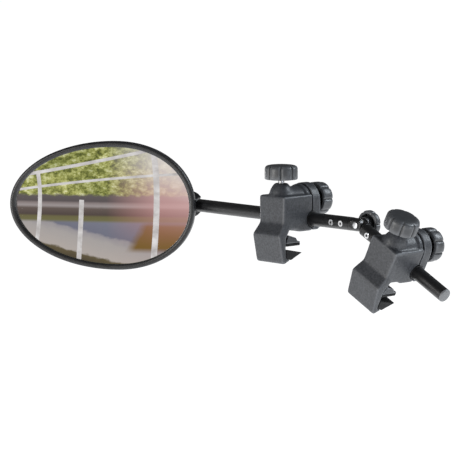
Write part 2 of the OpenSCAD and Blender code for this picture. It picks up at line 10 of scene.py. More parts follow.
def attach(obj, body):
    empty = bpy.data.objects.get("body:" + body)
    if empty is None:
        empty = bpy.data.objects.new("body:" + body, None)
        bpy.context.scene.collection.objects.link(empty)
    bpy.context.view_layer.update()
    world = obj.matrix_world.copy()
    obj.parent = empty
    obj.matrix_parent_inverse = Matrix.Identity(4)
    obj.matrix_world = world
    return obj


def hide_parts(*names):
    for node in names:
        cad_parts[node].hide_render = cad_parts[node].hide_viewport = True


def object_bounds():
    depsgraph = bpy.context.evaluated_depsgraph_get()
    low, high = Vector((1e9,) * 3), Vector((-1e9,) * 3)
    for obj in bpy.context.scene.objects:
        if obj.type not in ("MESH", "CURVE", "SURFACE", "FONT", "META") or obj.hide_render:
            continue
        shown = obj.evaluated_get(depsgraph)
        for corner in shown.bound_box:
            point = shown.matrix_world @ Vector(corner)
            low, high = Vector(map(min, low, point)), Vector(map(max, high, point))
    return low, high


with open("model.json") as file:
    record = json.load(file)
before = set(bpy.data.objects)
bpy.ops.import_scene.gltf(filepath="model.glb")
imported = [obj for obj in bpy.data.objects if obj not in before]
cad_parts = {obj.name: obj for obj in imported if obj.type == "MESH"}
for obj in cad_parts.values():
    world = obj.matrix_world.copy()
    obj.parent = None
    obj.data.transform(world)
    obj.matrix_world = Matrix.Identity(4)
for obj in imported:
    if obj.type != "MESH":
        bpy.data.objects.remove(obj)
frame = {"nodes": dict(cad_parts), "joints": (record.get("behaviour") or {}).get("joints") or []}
cad_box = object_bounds()


# ---- Studio -----------------------------------------------------------------------------
# A long lens looks slightly down across the mirror from its right, over a pale floor.
# Two tall softboxes light it from the front left and from the right, with a weak top light.

scene = bpy.context.scene
scene.view_settings.view_transform = "Standard"

lens = bpy.data.cameras.new("product_camera")
lens.sensor_width = 36
lens.lens = 180.53
lens.clip_end = 50
camera = bpy.data.objects.new("product_camera", lens)
camera_yaw, camera_pitch, camera_roll = 47.6, 6.99, -0.1
camera.matrix_world = (
    Matrix.Translation((1.477, -1.4097, 0.26435))
    @ Matrix.Rotation(math.radians(camera_yaw), 4, "Z")
    @ Matrix.Rotation(math.radians(90 - camera_pitch), 4, "X")
    @ Matrix.Rotation(math.radians(camera_roll), 4, "Z")
)
scene.collection.objects.link(camera)
scene.camera = camera


def softbox(name, place, aim, width, height, watts, colour):
    panel = bpy.data.lights.new(name, "AREA")
    panel.shape = "RECTANGLE"
    panel.size, panel.size_y = width, height
    panel.energy = watts
    panel.color = colour
    lamp = bpy.data.objects.new(name, panel)
    lamp.location = place
    lamp.rotation_euler = (Vector(aim) - Vector(place)).to_track_quat("-Z", "Y").to_euler()
    scene.collection.objects.link(lamp)


softbox("left_softbox", (-0.2, -1.6, 0.1), (-0.05, 0, 0), 0.7, 0.9, 14, (1.0, 0.99, 0.97))
softbox("right_softbox", (1.9, 0.4, -0.15), (0.1, 0, 0), 0.5, 0.6, 5, (0.80, 0.90, 1.0))
softbox("back_softbox", (0.85, 1.2, 1.05), (0.05, 0, 0), 0.5, 0.8, 20, (0.86, 0.93, 1.0))

world = bpy.data.worlds.new("studio")
scene.world = world
world.use_nodes = True
sky = world.node_tree
sky.nodes["Background"].inputs["Color"].default_value = (1, 1, 1, 1)
sky.nodes["Background"].inputs["Strength"].default_value = 0.10
seen = sky.nodes.new("ShaderNodeBackground")
seen.inputs["Color"].default_value = (1, 1, 1, 1)
seen.inputs["Strength"].default_value = 1.0
choose = sky.nodes.new("ShaderNodeMixShader")
rays = sky.nodes.new("ShaderNodeLightPath")
sky.links.new(rays.outputs["Is Camera Ray"], choose.inputs["Fac"])
sky.links.new(sky.nodes["Background"].outputs["Background"], choose.inputs[1])
sky.links.new(seen.outputs["Background"], choose.inputs[2])
sky.links.new(choose.outputs["Shader"], sky.nodes["World Output"].inputs["Surface"])

floor_mesh = bmesh.new()
bmesh.ops.create_grid(floor_mesh, x_segments=1, y_segments=1, size=30)
bmesh.ops.translate(floor_mesh, vec=(0, 0, cad_box[0].z - 0.3), verts=floor_mesh.verts)
floor_data = bpy.data.meshes.new("floor")
floor_mesh.to_mesh(floor_data)
floor_mesh.free()
floor = bpy.data.objects.new("floor", floor_data)
scene.collection.objects.link(floor)
pale = bpy.data.materials.new("pale_floor")
pale.use_nodes = True
pale.node_tree.nodes["Principled BSDF"].inputs["Base Color"].default_value = (0.86, 0.86, 0.86, 1)
pale.node_tree.nodes["Principled BSDF"].inputs["Roughness"].default_value = 0.9
pale.node_tree.nodes["Principled BSDF"].inputs["Emission Color"].default_value = (1, 1, 1, 1)
pale.node_tree.nodes["Principled BSDF"].inputs["Emission Strength"].default_value = 0.94
floor_data.materials.append(pale)


# ---- Main bar: ball stud and tube --------------------------------------------------------
# A blackened steel ball is pressed into a steel tube with a black powder coat.
# Both are turned shapes, so each is spun from half its outline.

mm = 0.001
joints = {j["name"]: j for j in frame["joints"]}
pivot = Vector(joints["elbow"]["pos_m"])
ball = Vector(joints["head_swing"]["pos_m"])
end_axis = Vector(joints["right_clamp_slide"]["axis"])
elbow_drop = math.atan2(-end_axis.z, end_axis.x)

main_bar = Matrix.Translation(pivot) @ Matrix.Rotation(math.pi, 4, "Z")
end_bar = Matrix.Translation(pivot) @ Matrix.Rotation(elbow_drop, 4, "Y")
ball_place = Matrix.Translation(ball)
along_x = Matrix.Rotation(math.radians(90), 4, "Y")
along_y = Matrix.Rotation(math.radians(-90), 4, "X")
bar_r = 6.0


def lathe(outline, steps=64):
    """Spins [radius, height] points in mm round Z; points on the axis close the ends."""
    bm = bmesh.new()
    ring = [bm.verts.new((r, 0, h)) for r, h in outline]
    for a, b in zip(ring, ring[1:]):
        bm.edges.new((a, b))
    if outline[0][0] > 0 and outline[-1][0] > 0:
        bm.edges.new((ring[-1], ring[0]))
    bmesh.ops.spin(bm, geom=bm.verts[:] + bm.edges[:], axis=(0, 0, 1), cent=(0, 0, 0),
                   angle=2 * math.pi, steps=steps, use_merge=True)
    bmesh.ops.remove_doubles(bm, verts=bm.verts[:], dist=1e-4)
    bmesh.ops.recalc_face_normals(bm, faces=bm.faces[:])
    return bm


def make(name, bm, place, body, finish, stands_for, crease=35, size=mm):
    """Puts a mesh drawn in mm in its place in metres, with smooth shading up to the crease."""
    bmesh.ops.transform(bm, matrix=place @ Matrix.Scale(size, 4), verts=bm.verts[:])
    data = bpy.data.meshes.new(name)
    bm.to_mesh(data)
    bm.free()
    data.shade_smooth()
    data.set_sharp_from_angle(angle=math.radians(crease))
    piece = bpy.data.objects.new(name, data)
    scene.collection.objects.link(piece)
    data.materials.append(finish)
    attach(piece, body)
    for node in stands_for:
        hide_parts(node)
    return piece


def new_finish(name):
    """An empty material, named after its slot, with its shader and its Object coordinates."""
    finish = bpy.data.materials.new(name)
    finish.use_nodes = True
    tree = finish.node_tree
    place = tree.nodes.new("ShaderNodeTexCoord")
    return finish, tree, tree.nodes["Principled BSDF"], place.outputs["Object"]


def noise(tree, place, scale, detail=4.0, roughness=0.6):
    grain = tree.nodes.new("ShaderNodeTexNoise")
    grain.inputs["Scale"].default_value = scale
    grain.inputs["Detail"].default_value = detail
    grain.inputs["Roughness"].default_value = roughness
    tree.links.new(place, grain.inputs["Vector"])
    return grain.outputs["Fac"]


def ramp(tree, value, low, high, start=0.3, end=0.7):
    """Turns a 0 to 1 value into a colour from low to high."""
    blend = tree.nodes.new("ShaderNodeValToRGB")
    blend.color_ramp.elements[0].position = start
    blend.color_ramp.elements[0].color = (*low, 1)
    blend.color_ramp.elements[1].position = end
    blend.color_ramp.elements[1].color = (*high, 1)
    tree.links.new(value, blend.inputs["Fac"])
    return blend.outputs["Color"]


def spread(tree, value, low, high):
    """Turns a 0 to 1 value into a number from low to high."""
    scale = tree.nodes.new("ShaderNodeMapRange")
    scale.inputs["From Min"].default_value = 0.3
    scale.inputs["From Max"].default_value = 0.7
    scale.inputs["To Min"].default_value = low
    scale.inputs["To Max"].default_value = high
    tree.links.new(value, scale.inputs["Value"])
    return scale.outputs["Result"]


def relief(tree, height, depth, strength=1.0, under=None):
    bump = tree.nodes.new("ShaderNodeBump")
    bump.inputs["Distance"].default_value = depth
    bump.inputs["Strength"].default_value = strength
    tree.links.new(height, bump.inputs["Height"])
    if under is not None:
        tree.links.new(under, bump.inputs["Normal"])
    return bump.outputs["Normal"]


def painted_edge_highlight(tree, colour, edge, amount=0.6):
    """Lightens the raised edges with a painted highlight, standing in for the sheen that light puts
    on rounded edges.
    """
    shape = tree.nodes.new("ShaderNodeNewGeometry")
    edge_ramp = tree.nodes.new("ShaderNodeValToRGB")
    edge_ramp.color_ramp.elements[0].position = 0.505
    edge_ramp.color_ramp.elements[0].color = (0, 0, 0, 1)
    edge_ramp.color_ramp.elements[1].position = 0.54
    edge_ramp.color_ramp.elements[1].color = (amount, amount, amount, 1)
    tree.links.new(shape.outputs["Pointiness"], edge_ramp.inputs["Fac"])
    mix = tree.nodes.new("ShaderNodeMix")
    mix.data_type = "RGBA"
    tree.links.new(edge_ramp.outputs["Color"], mix.inputs["Factor"])
    tree.links.new(colour, mix.inputs["A"])
    mix.inputs["B"].default_value = (*edge, 1)
    return mix.outputs["Result"]


black_paint, tree, shader, place = new_finish("black_paint")
tree.links.new(ramp(tree, noise(tree, place, 90), (0.007, 0.007, 0.008), (0.013, 0.013, 0.014)),
               shader.inputs["Base Color"])
tree.links.new(spread(tree, noise(tree, place, 300), 0.26, 0.42), shader.inputs["Roughness"])
tree.links.new(relief(tree, noise(tree, place, 900, 3), 0.00006, 0.5), shader.inputs["Normal"])
shader.inputs["Coat Weight"].default_value = 0.06
shader.inputs["Coat Roughness"].default_value = 0.35

dark_steel, tree, shader, place = new_finish("dark_steel")
tree.links.new(ramp(tree, noise(tree, place, 200), (0.05, 0.05, 0.055), (0.11, 0.11, 0.115)),
               shader.inputs["Base Color"])
shader.inputs["Metallic"].default_value = 1.0
tree.links.new(spread(tree, noise(tree, place, 500), 0.22, 0.4), shader.inputs["Roughness"])

tube_end = 223.5 - 14
main_tube = lathe([[4.5, 9], [bar_r - 0.4, 9], [bar_r, 9.4], [bar_r, 60], [bar_r, 120],
                   [bar_r, tube_end - 0.5], [bar_r - 0.5, tube_end], [4.5, tube_end]])
make("main_tube_coated", main_tube, main_bar @ along_x, "main_bar", black_paint, ["main_tube"])

neck_r = 3.6
ball_r = 8.0
neck_start = math.sqrt(ball_r ** 2 - neck_r ** 2)
ball_outline = [[ball_r * math.sin(math.radians(a)), -ball_r * math.cos(math.radians(a))]
                for a in range(0, 150, 6)]
stud = lathe(ball_outline + [[neck_r, neck_start], [neck_r, 13], [neck_r + 0.9, 14],
                             [4.5, 14.2], [4.5, 34], [0, 34]], 48)
make("ball_stud_turned", stud, ball_place @ along_x, "main_bar", dark_steel, ["ball_stud"], 40)


# ---- Knuckles, rivets and end bar --------------------------------------------------------
# Each bar ends at the elbow in a black half-lap knuckle that two hollow rivets hold.
# The end bar is the same tube, with a light grey plastic cap pushed into its tip.

def from_cad(node):
    """A merged copy of a CAD node's mesh, with its flat faces whole."""
    bm = bmesh.new()
    bm.from_mesh(frame["nodes"][node].data)
    bmesh.ops.remove_doubles(bm, verts=bm.verts[:], dist=2e-6)
    bmesh.ops.dissolve_limit(bm, angle_limit=math.radians(0.7), verts=bm.verts[:],
                             edges=bm.edges[:])
    return bm


def dressed(node, name, body, finish, width=0.4, segments=3, limit=32):
    """A CAD piece with its hard edges eased by a bevel."""
    piece = make(name, from_cad(node), Matrix.Identity(4), body, finish, [node], limit, 1.0)
    if width:
        bevel = piece.modifiers.new("eased_edges", "BEVEL")
        bevel.width = width * mm
        bevel.segments = segments
        bevel.limit_method = "ANGLE"
        bevel.angle_limit = math.radians(limit)
        bevel.harden_normals = True
    return piece


def moulded(node, name, body, finish, place, grid=0.5, rounds=8, trim=None):
    """A CAD piece as it leaves its mould: every edge and inner corner is softly rounded."""
    bm = from_cad(node)
    bmesh.ops.transform(bm, matrix=Matrix.Scale(1 / mm, 4) @ place.inverted(), verts=bm.verts[:])
    data = bpy.data.meshes.new(name)
    bm.to_mesh(data)
    bm.free()
    rough = bpy.data.objects.new(name + "_rough", data)
    scene.collection.objects.link(rough)
    remesh = rough.modifiers.new("even_mesh", "REMESH")
    remesh.mode = "VOXEL"
    remesh.voxel_size = grid
    even = bpy.data.meshes.new_from_object(rough.evaluated_get(
        bpy.context.evaluated_depsgraph_get()))
    bpy.data.objects.remove(rough)
    bm = bmesh.new()
    bm.from_mesh(even)
    for _ in range(rounds):
        bmesh.ops.smooth_vert(bm, verts=bm.verts[:], factor=0.5, use_axis_x=True,
                              use_axis_y=True, use_axis_z=True)
    if trim:
        trim(bm)
    return make(name, bm, place, body, finish, [node], 60)


zinc_steel, tree, shader, place = new_finish("zinc_steel")
tree.links.new(ramp(tree, noise(tree, place, 150), (0.62, 0.63, 0.65), (0.8, 0.8, 0.81)),
               shader.inputs["Base Color"])
shader.inputs["Metallic"].default_value = 1.0
tree.links.new(spread(tree, noise(tree, place, 700), 0.2, 0.38), shader.inputs["Roughness"])
tree.links.new(relief(tree, noise(tree, place, 2500, 2), 0.00002, 0.4), shader.inputs["Normal"])

plug_grey, tree, shader, place = new_finish("plug_grey")
tree.links.new(ramp(tree, noise(tree, place, 120), (0.150, 0.154, 0.160), (0.200, 0.204, 0.212)),
               shader.inputs["Base Color"])
tree.links.new(spread(tree, noise(tree, place, 400), 0.4, 0.55), shader.inputs["Roughness"])

moulded("main_knuckle", "main_knuckle_coated", "main_bar", black_paint, main_bar, 0.25, 5)
moulded("end_knuckle", "end_knuckle_coated", "end_bar", black_paint, end_bar, 0.25, 5)
dressed("main_rivets", "main_rivets_rolled", "main_bar", zinc_steel, 0.12, 2)
dressed("end_rivets", "end_rivets_rolled", "end_bar", zinc_steel, 0.12, 2)

tip = 114 - 1.6
end_tube = lathe([[4.5, 9], [bar_r - 0.4, 9], [bar_r, 9.4], [bar_r, 60], [bar_r, tip - 0.3],
                  [bar_r - 0.3, tip], [4.5, tip]])
make("end_tube_coated", end_tube, end_bar @ along_x, "end_bar", black_paint, ["end_tube"])
cap = lathe([[0, tip - 12], [4.5, tip - 12], [4.5, tip + 0.05], [bar_r - 0.2, tip + 0.05],
             [bar_r, tip + 0.25], [bar_r, tip + 0.9], [bar_r - 0.35, tip + 1.45],
             [bar_r - 0.9, tip + 1.6], [0, tip + 1.6]])
make("end_cap_moulded", cap, end_bar @ along_x, "end_bar", plug_grey, ["end_plug"])


# ---- Elbow: friction disc, washer, screw and knob ----------------------------------------
# A long zinc-plated screw runs through both knuckles and a nylon disc between them.
# A lobed knob behind draws a washer against the flat to lock the fold.

nylon, tree, shader, place = new_finish("nylon")
tree.links.new(ramp(tree, noise(tree, place, 80), (0.62, 0.6, 0.54), (0.72, 0.7, 0.64)),
               shader.inputs["Base Color"])
tree.links.new(spread(tree, noise(tree, place, 300), 0.35, 0.5), shader.inputs["Roughness"])
shader.inputs["Subsurface Weight"].default_value = 0.15
shader.inputs["Subsurface Radius"].default_value = (0.002, 0.002, 0.0015)

knob_plastic, tree, shader, place = new_finish("knob_plastic")
base = ramp(tree, noise(tree, place, 60, 6), (0.030, 0.031, 0.034), (0.046, 0.048, 0.052))
# The knobs' raised edges get a painted highlight.
tree.links.new(painted_edge_highlight(tree, base, (0.13, 0.135, 0.145), 0.7), shader.inputs["Base Color"])
tree.links.new(spread(tree, noise(tree, place, 220), 0.30, 0.46), shader.inputs["Roughness"])
tree.links.new(relief(tree, noise(tree, place, 1400, 3), 0.00008, 0.45), shader.inputs["Normal"])

knuckle_flat = 5.0


def thread(radius, start, end, pitch=1.0, depth=0.45):
    """The crests and roots of a rolled thread, as outline points."""
    points = []
    h = start
    while h + pitch <= end:
        points += [[radius - depth, h], [radius, h + pitch * 0.42], [radius, h + pitch * 0.58]]
        h += pitch
    return points + [[radius - depth, h]]


def knob(r, h, lobes, drop, hole_h, hub=6.2, wall=3.0, valley=1.1):
    """A lobed hand knob: hollow skirt, hub, fluted rim and a slightly domed top."""
    roof, top = drop + h * 0.62, drop + h
    bm = lathe([[3, 0], [hub - 0.4, 0], [hub, 0.4], [hub, roof - 0.6], [hub + 0.6, roof],
                [r - wall - 0.8, roof], [r - wall, roof - 0.8], [r - wall, drop + 0.4],
                [r - wall + 0.4, drop], [r - 1.3, drop], [r - 0.5, drop + 0.25],
                [r, drop + 1.0], [r, drop + h * 0.34], [r, drop + h * 0.55], [r - 0.1, top - 3.6],
                [r - 0.45, top - 2.5], [r - 1.2, top - 1.55], [r - 2.4, top - 0.9],
                [r - 4.2, top - 0.5], [r - 7, top - 0.2], [r * 0.3, top - 0.03], [0, top],
                ], 16 * lobes)
    top_cut = [v for v in bm.verts if v.co.to_2d().length < 1e-4]
    if top_cut:
        bore = [v for v in bm.verts if abs(v.co.to_2d().length - 3) < 1e-3 and v.co.z < 1e-3]
        ring = [e for e in bm.edges if all(v in bore for v in e.verts)]
        inner = bmesh.ops.extrude_edge_only(bm, edges=ring)["geom"]
        rim = [v for v in inner if isinstance(v, bmesh.types.BMVert)]
        bmesh.ops.translate(bm, vec=(0, 0, hole_h), verts=rim)
        bmesh.ops.contextual_create(bm, geom=[e for e in inner if isinstance(e, bmesh.types.BMEdge)
                                              and all(v in rim for v in e.verts)])
    # narrow valleys between wide rounded lobes, fading out over the top and under the skirt
    for v in bm.verts:
        radius = v.co.to_2d().length
        if radius < r - wall - 1.3:
            continue
        share = min(1, (radius - (r - wall - 1.3)) / (wall + 0.4))
        if v.co.z < drop + 0.3 and radius < r - wall + 0.5:
            share = 0
        turn = math.atan2(v.co.y, v.co.x)
        apart = abs((turn * lobes / (2 * math.pi) + 0.5) % 1 - 0.5) * 360 / lobes
        valley_cut = valley * math.exp(-(apart / 3.4) ** 2) + 0.3 * (1 - apart * lobes / 180) ** 2
        scale = 1 - share * valley_cut / r
        v.co.x *= scale
        v.co.y *= scale
    bmesh.ops.recalc_face_normals(bm, faces=bm.faces[:])
    return bm


dressed("elbow_disc", "elbow_disc_cut", "main_bar", nylon, 0.1, 2)
washer = lathe([[3.3, 0], [5.75, 0], [6, 0.25], [6, 0.95], [5.75, 1.2], [3.3, 1.2]])
pivot_back = Matrix.Translation(pivot) @ along_y
make("elbow_washer_pressed", washer, pivot_back @ Matrix.Translation((0, 0, knuckle_flat * mm)),
     "elbow_washer", zinc_steel, ["elbow_washer"])
screw_tip = -knuckle_flat - 1.1
screw = lathe([[0, screw_tip], [2.2, screw_tip], [2.7, screw_tip + 0.15],
               [3, screw_tip + 0.55], [3, 5.5]] + thread(3, 6, 13.5) + [[0, 14]])
make("elbow_screw_turned", screw, pivot_back, "elbow_knob", zinc_steel, ["elbow_screw"])
make("elbow_knob_lobed", knob(11.8, 8, 6, 3.2, 8, valley=1.1),
     pivot_back @ Matrix.Translation((0, 0, (knuckle_flat + 1.2) * mm)),
     "elbow_knob", knob_plastic, ["elbow_knob"])


# ---- Clamps ------------------------------------------------------------------------------
# Each clamp is two glass-filled nylon mouldings closed on a split sleeve round the bar.
# Black rubber faces its claw and its jaw; zinc-plated screws run in knurled brass inserts.

clamp_plastic, tree, shader, place = new_finish("clamp_plastic")
base = ramp(tree, noise(tree, place, 620, 4, 0.7), (0.026, 0.028, 0.033), (0.066, 0.070, 0.079),
            0.36, 0.66)
# The mouldings' raised edges get a painted highlight.
tree.links.new(painted_edge_highlight(tree, base, (0.21, 0.22, 0.24), 0.8), shader.inputs["Base Color"])
tree.links.new(spread(tree, noise(tree, place, 350), 0.36, 0.54), shader.inputs["Roughness"])
leather = tree.nodes.new("ShaderNodeTexVoronoi")
leather.inputs["Scale"].default_value = 900
tree.links.new(place, leather.inputs["Vector"])
fine = relief(tree, noise(tree, place, 2200, 2), 0.00005, 0.5)
tree.links.new(relief(tree, leather.outputs["Distance"], 0.00012, 0.5, fine),
               shader.inputs["Normal"])

rubber, tree, shader, place = new_finish("rubber")
tree.links.new(ramp(tree, noise(tree, place, 70), (0.006, 0.006, 0.0065), (0.012, 0.012, 0.013)),
               shader.inputs["Base Color"])
tree.links.new(spread(tree, noise(tree, place, 250), 0.6, 0.8), shader.inputs["Roughness"])
tree.links.new(relief(tree, noise(tree, place, 1200, 3), 0.0001, 0.5), shader.inputs["Normal"])
shader.inputs["Specular IOR Level"].default_value = 0.35

black_acetal, tree, shader, place = new_finish("black_acetal")
tree.links.new(ramp(tree, noise(tree, place, 90), (0.012, 0.012, 0.013), (0.02, 0.02, 0.021)),
               shader.inputs["Base Color"])
tree.links.new(spread(tree, noise(tree, place, 300), 0.35, 0.5), shader.inputs["Roughness"])

brass, tree, shader, place = new_finish("brass")
tree.links.new(ramp(tree, noise(tree, place, 150), (0.55, 0.38, 0.16), (0.72, 0.52, 0.24)),
               shader.inputs["Base Color"])
shader.inputs["Metallic"].default_value = 1.0
tree.links.new(spread(tree, noise(tree, place, 500), 0.25, 0.42), shader.inputs["Roughness"])

left_clamp = Matrix.Translation((0, pivot.y, pivot.z))
right_clamp = end_bar @ Matrix.Translation((61.5 * mm, 0, 0))
jaw_screw_y, back_screw_z = -24.3, 16.0
knob_z, knob_h, back_knob_y = 36.2, 13.2, 14.6

for side, clamp in (("left", left_clamp), ("right", right_clamp)):
    body = "clamp_" + side
    moulded("clamp_body_" + side, "clamp_body_moulded_" + side, body, clamp_plastic, clamp,
            0.5, 40)
    moulded("claw_pad_" + side, "claw_pad_rubber_" + side, body, rubber, clamp, 0.4, 2)
    dressed("jaw_nut_" + side, "jaw_insert_" + side, body, brass, 0.2, 2)
    dressed("back_nut_" + side, "back_insert_" + side, body, brass, 0.2, 2)
    dressed("bar_sleeve_" + side, "bar_sleeve_split_" + side, "sleeve_" + side, black_acetal, 0.15, 2)
    moulded("back_plate_" + side, "back_plate_moulded_" + side, "plate_" + side,
            clamp_plastic, clamp, 0.5, 7)
    dressed("back_spacer_" + side, "back_spacer_rubber_" + side, "plate_" + side, rubber, 0.4)
    moulded("jaw_" + side, "jaw_moulded_" + side, "jaw_" + side, clamp_plastic, clamp, 0.4, 6)
    moulded("jaw_pad_" + side, "jaw_pad_rubber_" + side, "jaw_" + side, rubber, clamp, 0.4, 3)
    dressed("jaw_clip_" + side, "jaw_clip_sprung_" + side, "jaw_screw_" + side, dark_steel, 0.08, 2)

    down = clamp @ Matrix.Translation((0, jaw_screw_y * mm, 0))
    rod = lathe([[0, -18.5], [1.6, -18.5], [2, -18.1], [2, -17.6], [1.5, -17.5], [1.5, -16.8],
                 [2, -16.7], [2, -15], [3, -15]] + thread(3, -14.5, 44) + [[0, 45.4]])
    make("jaw_screw_threaded_" + side, rod, down, "jaw_screw_" + side, zinc_steel,
         ["jaw_screw_" + side])
    make("jaw_knob_lobed_" + side, knob(15, knob_h, 8, 0.6, 9.8),
         down @ Matrix.Translation((0, 0, (knob_z - 0.6) * mm)), "jaw_screw_" + side,
         knob_plastic, ["jaw_knob_" + side])

    back = clamp @ Matrix.Translation((0, 0, back_screw_z * mm)) @ along_y
    rod = lathe([[0, -16.8], [2.5, -16.8], [3, -16.3]] + thread(3, -16, 23.5) + [[0, 24.4]])
    make("back_screw_threaded_" + side, rod, back, "back_knob_" + side, zinc_steel,
         ["back_screw_" + side])
    make("back_knob_lobed_" + side, knob(15, knob_h, 8, 0.6, 9.8),
         back @ Matrix.Translation((0, 0, back_knob_y * mm)), "back_knob_" + side,
         knob_plastic, ["back_knob_" + side])


# ---- Mirror head -------------------------------------------------------------------------
# A convex silvered glass sits on a foam pad in a black moulded bezel and domed housing.
# The housing and a three-screw cap close on a nylon liner round the ball.

head_angle = math.radians(37.6)
head = ball_place @ Matrix.Rotation(head_angle, 4, "Z") @ Matrix.Translation(
    (-(178 / 2 - 9.5) * mm, -27 * mm, 0))
head_bias, head_h, glass_r = 12.8, 121.4, 1200.0
right_rx, left_rx = 178 / 2 - head_bias, 178 / 2 + head_bias


def egg_point(turn, inset):
    """A point of the head's outline at an angle, set in from the edge, in mm."""
    right = math.cos(turn) >= 0
    power = 2.1 if right else 2.0
    across = math.copysign(abs(math.cos(turn)) ** (2 / power), math.cos(turn))
    up = math.copysign(abs(math.sin(turn)) ** (2 / power), math.sin(turn))
    return (head_bias + ((right_rx if right else left_rx) - inset) * across,
            (head_h / 2 - inset) * up)


def egg_loft(rings, steps=144, closed=False):
    """Joins rings of the outline, each [inset, depth] or [inset, depth, scale]; depth may be
    a function of x and z."""
    bm = bmesh.new()
    loops = []
    for inset, depth, *shrunk in rings:
        scale = shrunk[0] if shrunk else 1
        ring = bmesh.ops.create_circle(bm, segments=steps, radius=1)["verts"]
        for i, v in enumerate(ring):
            x, z = egg_point(2 * math.pi * i / steps, inset)
            x, z = x * scale, z * scale
            v.co = (x, depth(x, z) if callable(depth) else depth, z)
        loops.append([bm.edges.get((ring[i - 1], ring[i])) for i in range(steps)])
    for a, b in zip(loops, loops[1:] + (loops[:1] if closed else [])):
        bmesh.ops.bridge_loops(bm, edges=a + b)
    if not closed:
        for loop in (loops[0], loops[-1]):
            bmesh.ops.contextual_create(bm, geom=loop)
    bmesh.ops.recalc_face_normals(bm, faces=bm.faces[:])
    return bm


def on_sphere(radius):
    """Depth of the glass's sphere behind the head's front plane."""
    return lambda x, z: glass_r + 1.2 - math.sqrt(radius ** 2 - x * x - z * z)


mirror, tree, shader, place = new_finish("mirror")
shader.inputs["Base Color"].default_value = (0.86, 0.88, 0.9, 1)
shader.inputs["Metallic"].default_value = 1.0
tree.links.new(spread(tree, noise(tree, place, 40, 5), 0.0, 0.02), shader.inputs["Roughness"])
shader.inputs["Coat Weight"].default_value = 0.3
shader.inputs["Coat Roughness"].default_value = 0.01

foam, tree, shader, place = new_finish("foam")
tree.links.new(ramp(tree, noise(tree, place, 600), (0.02, 0.02, 0.021), (0.05, 0.05, 0.052)),
               shader.inputs["Base Color"])
shader.inputs["Roughness"].default_value = 0.95
tree.links.new(relief(tree, noise(tree, place, 1500), 0.0003, 0.8), shader.inputs["Normal"])

trim_plastic, tree, shader, place = new_finish("trim_plastic")
tree.links.new(ramp(tree, noise(tree, place, 50, 6), (0.012, 0.012, 0.013), (0.022, 0.022, 0.024)),
               shader.inputs["Base Color"])
tree.links.new(spread(tree, noise(tree, place, 250), 0.3, 0.44), shader.inputs["Roughness"])
tree.links.new(relief(tree, noise(tree, place, 1500, 3), 0.00006, 0.4), shader.inputs["Normal"])

housing_plastic, tree, shader, place = new_finish("housing_plastic")
tree.links.new(ramp(tree, noise(tree, place, 50, 6), (0.012, 0.012, 0.013), (0.024, 0.024, 0.026)),
               shader.inputs["Base Color"])
tree.links.new(spread(tree, noise(tree, place, 250), 0.4, 0.58), shader.inputs["Roughness"])
pores = tree.nodes.new("ShaderNodeTexVoronoi")
pores.inputs["Scale"].default_value = 700
tree.links.new(place, pores.inputs["Vector"])
tree.links.new(relief(tree, pores.outputs["Distance"], 0.00025, 0.6), shader.inputs["Normal"])

face, rear = on_sphere(glass_r), on_sphere(glass_r - 2.2)
glass = egg_loft([[3.3, face, 0.01 + 0.99 * i / 22] for i in range(23)]
                 + [[3.1, on_sphere(glass_r - 0.2)], [3.1, on_sphere(glass_r - 2.0)],
                    [3.3, rear], [3.3, rear, 0.6], [3.3, rear, 0.2], [3.3, rear, 0.01]])
make("mirror_glass_silvered", glass, head, "head", mirror, ["mirror_glass"], 30)
dressed("mirror_backing", "foam_pad", "head", foam, 0)
bezel = egg_loft([[5.4, lambda x, z: face(x, z) - 0.02], [5.4, 1.4], [4.9, 0.75],
                  [4.1, 0.3], [3.0, 0.05], [2.0, 0.0], [1.1, 0.3], [0.45, 0.95], [0.1, 1.9],
                  [0, 3.2], [0, 6.9], [0.25, 7.4], [0.6, 7.6], [0.6, 8.0], [3.0, 8.0],
                  [3.0, face]], closed=True)
make("bezel_moulded", bezel, head, "head", trim_plastic, ["mirror_bezel"], 40)


ball_in_head = Vector((178 / 2 - 9.5, 27, 0))
dome_r = 12.5


def true_up(bm):
    """Keeps the housing's rim inside the bezel's outline, and the socket's dome truly round."""
    for v in bm.verts:
        from_ball = v.co - ball_in_head
        off = from_ball.length - dome_r
        if abs(off) < 1.4:
            kept = max(0, abs(off) - 0.6) / 0.8
            v.co = ball_in_head + from_ball.normalized() * (dome_r + off * kept)
        right = v.co.x >= head_bias
        power, rx = (2.1, right_rx) if right else (2.0, left_rx)
        across, up = (v.co.x - head_bias) / (rx - 0.7), v.co.z / (head_h / 2 - 0.7)
        out = (abs(across) ** power + abs(up) ** power) ** (1 / power)
        if out > 1:
            v.co.x = head_bias + (v.co.x - head_bias) / out
            v.co.z /= out


moulded("mirror_housing", "housing_moulded", "head", housing_plastic, head, 0.75, 14,
        true_up)
moulded("socket_cap", "socket_cap_moulded", "head", housing_plastic, head, 0.35, 5)
dressed("socket_screws", "socket_screws_turned", "head", zinc_steel, 0.25)
dressed("ball_liner", "ball_liner_moulded", "ball_liner", nylon, 0.1, 2)


# ---- Surroundings that the glass reflects ------------------------------------------------
# A picture of a tree-lined road behind a steel barrier and a pale fence stands in front of
# the glass. Only reflected rays meet it, so it stays out of sight and casts no shadow.

glass_right, glass_up = 91.5, 64.0
surroundings_far = 0.95


def reflected_place(across, up, nearer=0.0):
    """Where the camera sees a place of the surroundings, from -1 to 1 over the glass."""
    u, z = across * glass_right, up * glass_up
    centre = head @ (Vector((0, glass_r + 1.2, 0)) * mm)
    middle = head @ (Vector((0, 1.2, 0)) * mm)
    point = head @ (Vector((u, glass_r + 1.2 - math.sqrt(glass_r ** 2 - u * u - z * z), z)) * mm)

    def bounce(at):
        normal = (at - centre).normalized()
        return (at - camera.matrix_world.translation).normalized().reflect(normal)

    straight = bounce(middle)
    ray = bounce(point)
    wall = middle + straight * (surroundings_far - nearer)
    return point + ray * ((wall - point).dot(straight) / ray.dot(straight))


